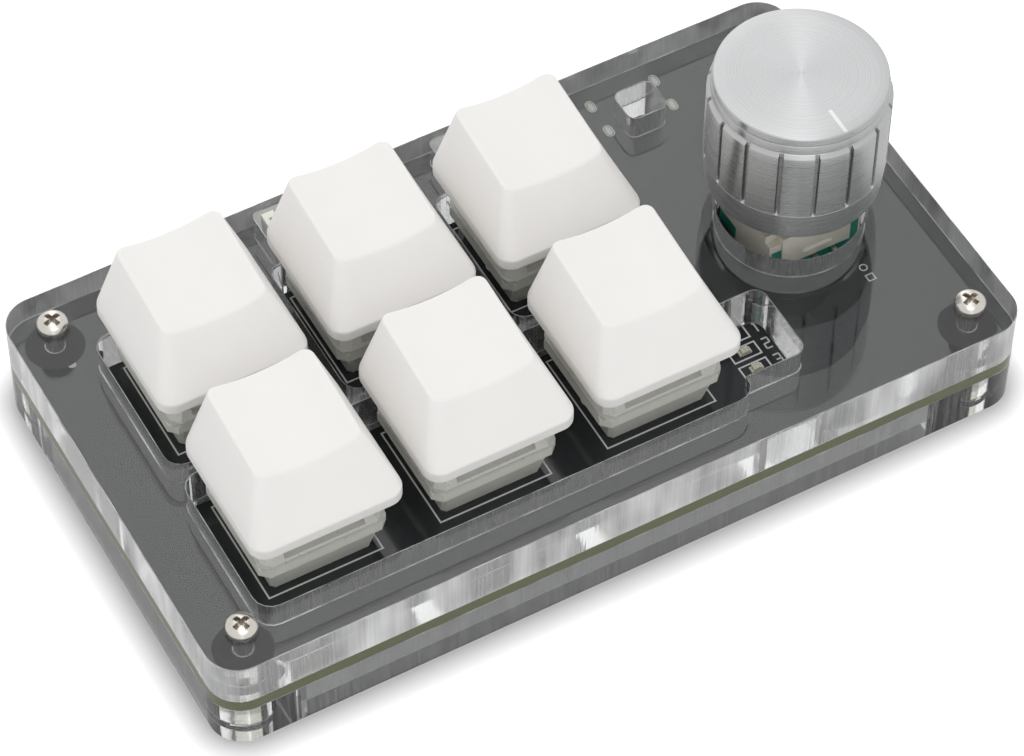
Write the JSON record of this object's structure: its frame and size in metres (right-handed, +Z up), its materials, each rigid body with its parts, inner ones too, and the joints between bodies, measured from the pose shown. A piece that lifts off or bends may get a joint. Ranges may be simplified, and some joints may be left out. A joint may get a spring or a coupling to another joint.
{
  "type": "macro keypad",
  "caption": "Desk macro keypad: sprung white keys and a turning, pushable metal knob on a circuit board held between clear acrylic plates.",
  "frame": {"origin": "on the table, under the middle of the plates", "axes": "+X to the right towards the knob, +Y to the back towards the cable inlet, +Z up"},
  "size_m": [0.102, 0.057, 0.0349],
  "materials": {
    "keycap_white": "fine satin grain",
    "stem_white": "smooth moulded",
    "spring_steel": "bright wire",
    "housing_cream": "smooth moulded",
    "housing_clear": "frosted clear moulded",
    "clear_acrylic": "polished clear acrylic",
    "board_black": "black solder mask on an olive core",
    "screw_nickel": "nickel plated",
    "insert_brass": "plated brass, knurled",
    "contact_metal": "tinned",
    "encoder_green": "moulded green",
    "encoder_steel": "plated sheet, satin",
    "rotor_plastic": "moulded",
    "shaft_aluminium": "turned",
    "knob_aluminium": "turned, clear anodised",
    "core_black": "moulded",
    "usb_steel": "nickel plated",
    "usb_black": "moulded",
    "led_white": "clear resin on white",
    "chip_ceramic": "ceramic with tinned ends",
    "chip_black": "moulded epoxy",
    "power_black": "moulded",
    "power_steel": "plated sheet",
    "slider_black": "moulded"
  },
  "bodies": {
    "base": {"spring_1": "spring_steel", "switch_base_1": "housing_cream", "switch_top_1": "housing_clear", "spring_2": "spring_steel", "switch_base_2": "housing_cream", "switch_top_2": "housing_clear", "spring_3": "spring_steel", "switch_base_3": "housing_cream", "switch_top_3": "housing_clear", "spring_4": "spring_steel", "switch_base_4": "housing_cream", "switch_top_4": "housing_clear", "spring_5": "spring_steel", "switch_base_5": "housing_cream", "switch_top_5": "housing_clear", "spring_6": "spring_steel", "switch_base_6": "housing_cream", "switch_top_6": "housing_clear", "top_plate": "clear_acrylic", "bottom_plate": "clear_acrylic", "circuit_board": "board_black", "corner_screws": "screw_nickel", "threaded_inserts": "insert_brass", "switch_contacts": "contact_metal", "encoder_base": "encoder_green", "encoder_frame": "encoder_steel", "encoder_pins": "contact_metal", "encoder_dome": "spring_steel", "usb_shell": "usb_steel", "usb_tongue": "usb_black", "usb_contacts": "contact_metal", "status_leds": "led_white", "window_resistors": "chip_ceramic", "controller": "chip_black", "controller_leads": "contact_metal", "small_chips": "chip_ceramic", "diodes": "chip_black", "plug_body": "housing_cream", "plug_pins": "contact_metal", "power_base": "power_black", "power_cover": "power_steel", "power_pins": "contact_metal"},
    "key_1": {"keycap_1": "keycap_white", "stem_1": "stem_white"},
    "key_2": {"keycap_2": "keycap_white", "stem_2": "stem_white"},
    "key_3": {"keycap_3": "keycap_white", "stem_3": "stem_white"},
    "key_4": {"keycap_4": "keycap_white", "stem_4": "stem_white"},
    "key_5": {"keycap_5": "keycap_white", "stem_5": "stem_white"},
    "key_6": {"keycap_6": "keycap_white", "stem_6": "stem_white"},
    "rotor": {"encoder_rotor": "rotor_plastic"},
    "knob_body": {"encoder_shaft": "shaft_aluminium", "knob": "knob_aluminium", "knob_core": "core_black"},
    "slider": {"power_slider": "slider_black"}
  },
  "joints": [
    {"name": "key_1_press", "type": "slide", "parent": "base", "child": "key_1", "axis": [0, 0, -1], "range_m": [0, 0.004], "stiffness_N_per_m": 75, "springref_m": -0.004, "deforming": ["spring_1"]},
    {"name": "key_2_press", "type": "slide", "parent": "base", "child": "key_2", "axis": [0, 0, -1], "range_m": [0, 0.004], "stiffness_N_per_m": 75, "springref_m": -0.004, "deforming": ["spring_2"]},
    {"name": "key_3_press", "type": "slide", "parent": "base", "child": "key_3", "axis": [0, 0, -1], "range_m": [0, 0.004], "stiffness_N_per_m": 75, "springref_m": -0.004, "deforming": ["spring_3"]},
    {"name": "key_4_press", "type": "slide", "parent": "base", "child": "key_4", "axis": [0, 0, -1], "range_m": [0, 0.004], "stiffness_N_per_m": 75, "springref_m": -0.004, "deforming": ["spring_4"]},
    {"name": "key_5_press", "type": "slide", "parent": "base", "child": "key_5", "axis": [0, 0, -1], "range_m": [0, 0.004], "stiffness_N_per_m": 75, "springref_m": -0.004, "deforming": ["spring_5"]},
    {"name": "key_6_press", "type": "slide", "parent": "base", "child": "key_6", "axis": [0, 0, -1], "range_m": [0, 0.004], "stiffness_N_per_m": 75, "springref_m": -0.004, "deforming": ["spring_6"]},
    {"name": "encoder_turn", "type": "hinge", "parent": "base", "child": "rotor", "pos_m": [0.0366, 0, 0.00963], "axis": [0, 0, 1], "continuous": true},
    {"name": "encoder_push", "type": "slide", "parent": "rotor", "child": "knob_body", "axis": [0, 0, -1], "range_m": [0, 0.0005], "stiffness_N_per_m": 3000, "springref_m": -0.0003, "deforming": ["encoder_dome"]},
    {"name": "power_slide", "type": "slide", "parent": "base", "child": "slider", "axis": [1, 0, 0], "range_m": [0, 0.002]}
  ]
}
